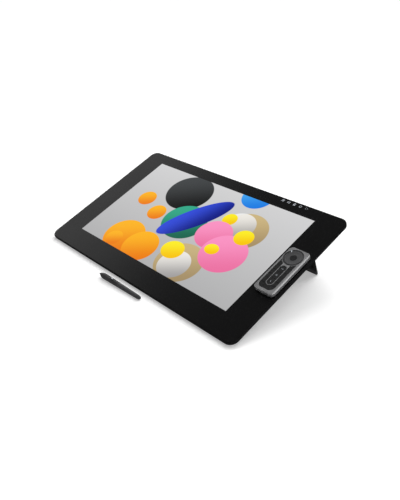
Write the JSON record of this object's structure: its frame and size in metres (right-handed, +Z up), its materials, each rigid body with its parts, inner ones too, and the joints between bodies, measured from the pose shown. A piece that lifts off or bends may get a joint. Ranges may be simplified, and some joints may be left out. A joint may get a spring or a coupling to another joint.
{
  "type": "pen drawing tablet",
  "caption": "Large pen display on two fold-out legs, with a battery-free pen on the table and a magnetic key remote on its glass; deep cable bay and arm holes behind.",
  "frame": {"origin": "on the table, at the middle of the front foot's flat with the legs out", "axes": "+X to the right along the front edge, +Y to the rear, +Z up; the glass leans back 20 degrees"},
  "size_m": [0.672, 0.4061, 0.1437],
  "materials": {
    "etched_glass": "etched",
    "black_print": "screen printed black",
    "picture_panel": "lit picture",
    "clear_acrylic": "clear acrylic",
    "tray_sheet": "folded sheet",
    "board_green": "glass epoxy",
    "chassis_sheet": "pressed sheet",
    "frame_metal": "dark anodised",
    "cover_plastic": "fine moulded grain",
    "plate_steel": "black zinc",
    "rubber": "matt",
    "fan_plastic": "moulded",
    "socket_metal": "nickel plated",
    "leg_metal": "dark anodised",
    "button_plastic": "satin",
    "mark_white": "backlit",
    "pen_plastic": "soft-touch",
    "pen_rubber": "matt grip",
    "coil_copper": "wound",
    "remote_plastic": "satin",
    "remote_face": "fine blasted",
    "ring_plastic": "satin",
    "key_plastic": "satin",
    "battery_foil": "foil pouch"
  },
  "bodies": {
    "tablet": {"cover_glass": "etched_glass", "border_mask": "black_print", "display_panel": "picture_panel", "light_guide": "clear_acrylic", "backlight_tray": "tray_sheet", "sensor_board": "board_green", "chassis": "chassis_sheet", "side_frame": "frame_metal", "rear_cover": "cover_plastic", "circuit_boards": "board_green", "heat_sink": "tray_sheet", "fan_housings": "fan_plastic", "rear_ports": "socket_metal", "side_ports": "socket_metal", "speakers": "fan_plastic", "vesa_plate": "plate_steel", "hinge_shafts": "plate_steel", "front_foot": "rubber", "rear_feet": "rubber", "case_screws": "plate_steel", "touch_marks": "mark_white"},
    "left_leg": {"leg_left": "leg_metal", "leg_left_foot": "rubber"},
    "right_leg": {"leg_right": "leg_metal", "leg_right_foot": "rubber"},
    "left_fan": {"fan_rotor_left": "fan_plastic"},
    "right_fan": {"fan_rotor_right": "fan_plastic"},
    "power_button": {"power_button": "button_plastic"},
    "touch_switch": {"touch_switch": "button_plastic"},
    "pen": {"pen_barrel": "pen_plastic", "pen_grip": "pen_rubber", "pen_cone": "pen_plastic", "pen_core": "coil_copper"},
    "pen_nib": {"pen_nib": "key_plastic"},
    "pen_rocker": {"pen_rocker": "button_plastic"},
    "pen_eraser": {"pen_eraser": "pen_plastic"},
    "remote": {"remote_base": "remote_plastic", "remote_faceplate": "remote_face", "remote_ring": "ring_plastic", "remote_battery": "battery_foil", "remote_board": "board_green", "remote_back": "rubber"},
    "ring_button": {"ring_button": "key_plastic"},
    "bottom_key": {"bottom_key": "key_plastic"},
    "middle_key_1": {"middle_key_1": "key_plastic"},
    "middle_key_2": {"middle_key_2": "key_plastic"},
    "middle_key_3": {"middle_key_3": "key_plastic"},
    "left_key_1": {"left_key_1": "key_plastic"},
    "left_key_2": {"left_key_2": "key_plastic"},
    "left_key_3": {"left_key_3": "key_plastic"},
    "left_key_4": {"left_key_4": "key_plastic"},
    "left_key_5": {"left_key_5": "key_plastic"},
    "left_key_6": {"left_key_6": "key_plastic"},
    "right_key_1": {"right_key_1": "key_plastic"},
    "right_key_2": {"right_key_2": "key_plastic"},
    "right_key_3": {"right_key_3": "key_plastic"},
    "right_key_4": {"right_key_4": "key_plastic"},
    "right_key_5": {"right_key_5": "key_plastic"},
    "right_key_6": {"right_key_6": "key_plastic"}
  },
  "joints": [
    {"name": "left_leg_fold", "type": "hinge", "parent": "tablet", "child": "left_leg", "pos_m": [-0.247, 0.28458, 0.08678], "axis": [1, 0, 0], "range_deg": [-95, 0]},
    {"name": "right_leg_fold", "type": "hinge", "parent": "tablet", "child": "right_leg", "pos_m": [0.247, 0.28458, 0.08678], "axis": [1, 0, 0], "range_deg": [-95, 0]},
    {"name": "left_fan_spin", "type": "hinge", "parent": "tablet", "child": "left_fan", "pos_m": [-0.156, 0.23331, 0.07024], "axis": [0, -0.2588, 0.9659], "continuous": true},
    {"name": "right_fan_spin", "type": "hinge", "parent": "tablet", "child": "right_fan", "pos_m": [0.156, 0.23331, 0.07024], "axis": [0, -0.2588, 0.9659], "continuous": true},
    {"name": "power_press", "type": "slide", "parent": "tablet", "child": "power_button", "axis": [0, -0.9397, -0.342], "range_m": [0, 0.0005], "stiffness_N_per_m": 2000},
    {"name": "touch_switch_slide", "type": "slide", "parent": "tablet", "child": "touch_switch", "axis": [1, 0, 0], "range_m": [0, 0.003]},
    {"name": "pen_lift", "type": "slide", "parent": "tablet", "child": "pen", "axis": [0, 0, 1], "range_m": [0, 0.15]},
    {"name": "nib_press", "type": "slide", "parent": "pen", "child": "pen_nib", "axis": [0.9995, 0.0262, -0.0179], "range_m": [0, 0.0003], "stiffness_N_per_m": 3000},
    {"name": "eraser_press", "type": "slide", "parent": "pen", "child": "pen_eraser", "axis": [-0.9995, -0.0262, 0.0179], "range_m": [0, 0.0005], "stiffness_N_per_m": 1500},
    {"name": "pen_rocker_tilt", "type": "hinge", "parent": "pen", "child": "pen_rocker", "pos_m": [-0.02497, -0.03935, 0.00957], "axis": [-0.0262, 0.9997, 0], "range_deg": [-3, 3], "stiffness_Nm_per_rad": 0.5},
    {"name": "remote_lift", "type": "slide", "parent": "tablet", "child": "remote", "axis": [0, -0.342, 0.9397], "range_m": [0, 0.12]},
    {"name": "ring_button_press", "type": "slide", "parent": "remote", "child": "ring_button", "axis": [0, 0.342, -0.9397], "range_m": [0, 0.0004], "stiffness_N_per_m": 1500},
    {"name": "bottom_key_press", "type": "slide", "parent": "remote", "child": "bottom_key", "axis": [0, 0.342, -0.9397], "range_m": [0, 0.0004], "stiffness_N_per_m": 1500},
    {"name": "middle_key_1_press", "type": "slide", "parent": "remote", "child": "middle_key_1", "axis": [0, 0.342, -0.9397], "range_m": [0, 0.0004], "stiffness_N_per_m": 1500},
    {"name": "middle_key_2_press", "type": "slide", "parent": "remote", "child": "middle_key_2", "axis": [0, 0.342, -0.9397], "range_m": [0, 0.0004], "stiffness_N_per_m": 1500},
    {"name": "middle_key_3_press", "type": "slide", "parent": "remote", "child": "middle_key_3", "axis": [0, 0.342, -0.9397], "range_m": [0, 0.0004], "stiffness_N_per_m": 1500},
    {"name": "left_key_1_press", "type": "slide", "parent": "remote", "child": "left_key_1", "axis": [0, 0.342, -0.9397], "range_m": [0, 0.0004], "stiffness_N_per_m": 1500},
    {"name": "left_key_2_press", "type": "slide", "parent": "remote", "child": "left_key_2", "axis": [0, 0.342, -0.9397], "range_m": [0, 0.0004], "stiffness_N_per_m": 1500},
    {"name": "left_key_3_press", "type": "slide", "parent": "remote", "child": "left_key_3", "axis": [0, 0.342, -0.9397], "range_m": [0, 0.0004], "stiffness_N_per_m": 1500},
    {"name": "left_key_4_press", "type": "slide", "parent": "remote", "child": "left_key_4", "axis": [0, 0.342, -0.9397], "range_m": [0, 0.0004], "stiffness_N_per_m": 1500},
    {"name": "left_key_5_press", "type": "slide", "parent": "remote", "child": "left_key_5", "axis": [0, 0.342, -0.9397], "range_m": [0, 0.0004], "stiffness_N_per_m": 1500},
    {"name": "left_key_6_press", "type": "slide", "parent": "remote", "child": "left_key_6", "axis": [0, 0.342, -0.9397], "range_m": [0, 0.0004], "stiffness_N_per_m": 1500},
    {"name": "right_key_1_press", "type": "slide", "parent": "remote", "child": "right_key_1", "axis": [0, 0.342, -0.9397], "range_m": [0, 0.0004], "stiffness_N_per_m": 1500},
    {"name": "right_key_2_press", "type": "slide", "parent": "remote", "child": "right_key_2", "axis": [0, 0.342, -0.9397], "range_m": [0, 0.0004], "stiffness_N_per_m": 1500},
    {"name": "right_key_3_press", "type": "slide", "parent": "remote", "child": "right_key_3", "axis": [0, 0.342, -0.9397], "range_m": [0, 0.0004], "stiffness_N_per_m": 1500},
    {"name": "right_key_4_press", "type": "slide", "parent": "remote", "child": "right_key_4", "axis": [0, 0.342, -0.9397], "range_m": [0, 0.0004], "stiffness_N_per_m": 1500},
    {"name": "right_key_5_press", "type": "slide", "parent": "remote", "child": "right_key_5", "axis": [0, 0.342, -0.9397], "range_m": [0, 0.0004], "stiffness_N_per_m": 1500},
    {"name": "right_key_6_press", "type": "slide", "parent": "remote", "child": "right_key_6", "axis": [0, 0.342, -0.9397], "range_m": [0, 0.0004], "stiffness_N_per_m": 1500}
  ]
}
